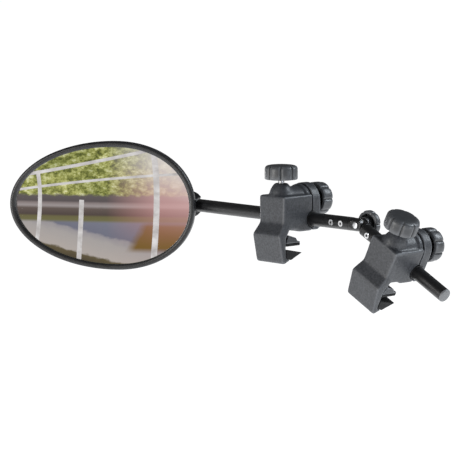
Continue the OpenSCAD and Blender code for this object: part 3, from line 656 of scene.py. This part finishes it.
def reflected_sheet(name, columns, rows, shape, finish, nearer=0.0):
    bm = bmesh.new()
    bmesh.ops.create_grid(bm, x_segments=columns, y_segments=rows, size=1)
    across_glass = bm.loops.layers.uv.new("across_glass")
    for face in bm.faces:
        for loop in face.loops:
            loop[across_glass].uv = shape(loop.vert.co.x, loop.vert.co.y)
    for v in bm.verts:
        v.co = reflected_place(*shape(v.co.x, v.co.y), nearer)
    data = bpy.data.meshes.new(name)
    bm.to_mesh(data)
    bm.free()
    data.materials.append(finish)
    sheet = bpy.data.objects.new(name, data)
    scene.collection.objects.link(sheet)
    for kind in ("camera", "diffuse", "transmission", "volume_scatter", "shadow"):
        setattr(sheet, "visible_" + kind, False)


def new_picture(name):
    """A glowing material on the sheet's own place across the glass."""
    picture = bpy.data.materials.new(name)
    picture.use_nodes = True
    tree = picture.node_tree
    tree.nodes.remove(tree.nodes["Principled BSDF"])
    glow = tree.nodes.new("ShaderNodeEmission")
    tree.links.new(glow.outputs["Emission"], tree.nodes["Material Output"].inputs["Surface"])
    uv = tree.nodes.new("ShaderNodeUVMap")
    uv.uv_map = "across_glass"
    return picture, tree, glow.inputs["Color"], uv.outputs["UV"]


def sums(tree, operation, a, b):
    node = tree.nodes.new("ShaderNodeMath")
    node.operation = operation
    for socket, value in zip(node.inputs, (a, b)):
        if isinstance(value, (int, float)):
            socket.default_value = value
        else:
            tree.links.new(value, socket)
    return node.outputs["Value"]


def bands(tree, value, low, high, stops):
    """Colours along a value that runs from low to high: stops are (value, colour)."""
    spreader = tree.nodes.new("ShaderNodeMapRange")
    spreader.inputs["From Min"].default_value = low
    spreader.inputs["From Max"].default_value = high
    tree.links.new(value, spreader.inputs["Value"])
    colours = tree.nodes.new("ShaderNodeValToRGB")
    elements = colours.color_ramp.elements
    while len(elements) < len(stops):
        elements.new(0.5)
    for element, (at, colour) in zip(elements, stops):
        element.position = (at - low) / (high - low)
        element.color = (*colour, 1)
    tree.links.new(spreader.outputs["Result"], colours.inputs["Fac"])
    return colours.outputs["Color"]


def over(tree, share, under, top):
    mix = tree.nodes.new("ShaderNodeMix")
    mix.data_type = "RGBA"
    tree.links.new(share, mix.inputs["Factor"])
    tree.links.new(under, mix.inputs["A"])
    if isinstance(top, tuple):
        mix.inputs["B"].default_value = (*top, 1)
    else:
        tree.links.new(top, mix.inputs["B"])
    return mix.outputs["Result"]


roadside, tree, picture_colour, uv = new_picture("roadside")
split = tree.nodes.new("ShaderNodeSeparateXYZ")
tree.links.new(uv, split.inputs["Vector"])
across, up = split.outputs["X"], split.outputs["Y"]
ragged = sums(tree, "ADD", up, sums(tree, "MULTIPLY", sums(
    tree, "SUBTRACT", noise(tree, uv, 9, 6), 0.5), 0.12))
leaves = bands(tree, noise(tree, uv, 11, 10, 0.75), 0.34, 0.68, [
    (0.34, (0.07, 0.08, 0.03)), (0.44, (0.21, 0.22, 0.06)), (0.52, (0.50, 0.50, 0.15)),
    (0.59, (0.80, 0.78, 0.40)), (0.68, (1.0, 0.98, 0.78))])
crowns = bands(tree, noise(tree, uv, 2.2, 3), 0.35, 0.65, [
    (0.35, (0.58, 0.62, 0.56)), (0.65, (1.0, 1.0, 1.0))])
shaded = tree.nodes.new("ShaderNodeMix")
shaded.data_type = "RGBA"
shaded.blend_type = "MULTIPLY"
shaded.inputs["Factor"].default_value = 1.0
tree.links.new(leaves, shaded.inputs["A"])
tree.links.new(crowns, shaded.inputs["B"])
barrier = bands(tree, up, -0.3, 0.3, [
    (-0.3, (0.21, 0.20, 0.09)), (-0.17, (0.17, 0.15, 0.07)), (-0.14, (0.10, 0.075, 0.065)),
    (-0.05, (0.15, 0.115, 0.10)), (-0.01, (0.38, 0.33, 0.32)), (0.03, (0.28, 0.23, 0.22)),
    (0.06, (0.12, 0.10, 0.10)), (0.14, (0.14, 0.12, 0.115))])
road_line = sums(tree, "ADD", ragged, sums(tree, "MULTIPLY", across, 0.34))
road = bands(tree, road_line, -0.9, 0.0, [
    (-0.9, (0.09, 0.07, 0.045)), (-0.80, (0.14, 0.11, 0.06)), (-0.77, (0.50, 0.44, 0.40)),
    (-0.55, (0.44, 0.40, 0.38)), (-0.46, (0.36, 0.33, 0.34)), (-0.42, (0.19, 0.19, 0.24)),
    (-0.1, (0.24, 0.24, 0.29))])
above_road = bands(tree, up, -0.26, -0.22, [(-0.26, (0, 0, 0)), (-0.22, (1, 1, 1))])
in_trees = bands(tree, ragged, 0.13, 0.17, [(0.13, (0, 0, 0)), (0.17, (1, 1, 1))])
view_behind = over(tree, in_trees, over(tree, above_road, road, barrier), shaded.outputs["Result"])
verge_edge = sums(tree, "SUBTRACT", across, sums(tree, "MULTIPLY", ragged, 0.4))
low_right = sums(tree, "MULTIPLY",
                 bands(tree, verge_edge, 0.5, 0.6, [(0.5, (0, 0, 0)), (0.6, (1, 1, 1))]),
                 bands(tree, up, -0.7, -0.2, [(-0.7, (0, 0, 0)), (-0.62, (1, 1, 1)),
                                              (-0.3, (1, 1, 1)), (-0.22, (0, 0, 0))]))
view_behind = over(tree, low_right, view_behind, (0.20, 0.12, 0.025))
glare = sums(tree, "MULTIPLY",
             bands(tree, across, 0.05, 1.0, [(0.05, (0, 0, 0)), (0.6, (0.7, 0.7, 0.7)),
                                            (1.0, (0.8, 0.8, 0.8))]),
             bands(tree, up, -0.6, 0.0, [(-0.6, (0.12, 0.12, 0.12)), (0.0, (1, 1, 1))]))
sun = bands(tree, sums(tree, "ADD", up, sums(tree, "MULTIPLY", across, 0.35)), -0.2, 1.2, [
    (-0.2, (0.60, 0.24, 0.22)), (0.35, (0.76, 0.45, 0.43)), (0.75, (0.95, 0.82, 0.8)),
    (1.2, (1.0, 0.97, 0.96))])
tree.links.new(over(tree, glare, view_behind, sun), picture_colour)

pale_fence, tree, fence_colour, uv = new_picture("pale_fence")
tree.links.new(bands(tree, noise(tree, uv, 7, 3), 0.3, 0.7, [
    (0.3, (0.52, 0.48, 0.46)), (0.7, (0.86, 0.82, 0.80))]), fence_colour)

reflected_sheet("roadside", 28, 20, lambda a, b: (1.3 * a, 1.35 * b), roadside)
fence = [
    ((-1.1, 0.36), (-0.1, 0.62), (0.62, 0.86), 0.024),
    ((-1.1, 0.16), (-0.1, 0.42), (1.1, 0.50), 0.018),
    ((-0.68, 0.50), (-0.62, 0.15), (-0.70, -0.60), 0.03),
    ((-0.21, 0.08), (-0.22, -0.3), (-0.26, -1.0), 0.036),
    ((0.54, 0.80), (0.62, 0.2), (0.52, -1.0), 0.044),
]
for i, (start, middle, end, half) in enumerate(fence):
    start, middle, end = Vector(start), Vector(middle), Vector(end)

    def along(a, b):
        t = (a + 1) / 2
        at = start * (1 - t) ** 2 + middle * 2 * t * (1 - t) + end * t * t
        run = ((middle - start) * (1 - t) + (end - middle) * t).normalized()
        return at.x - run.y * b * half * 0.7, at.y + run.x * b * half

    reflected_sheet(f"fence_{i}", 16, 1, along, pale_fence, 0.02)
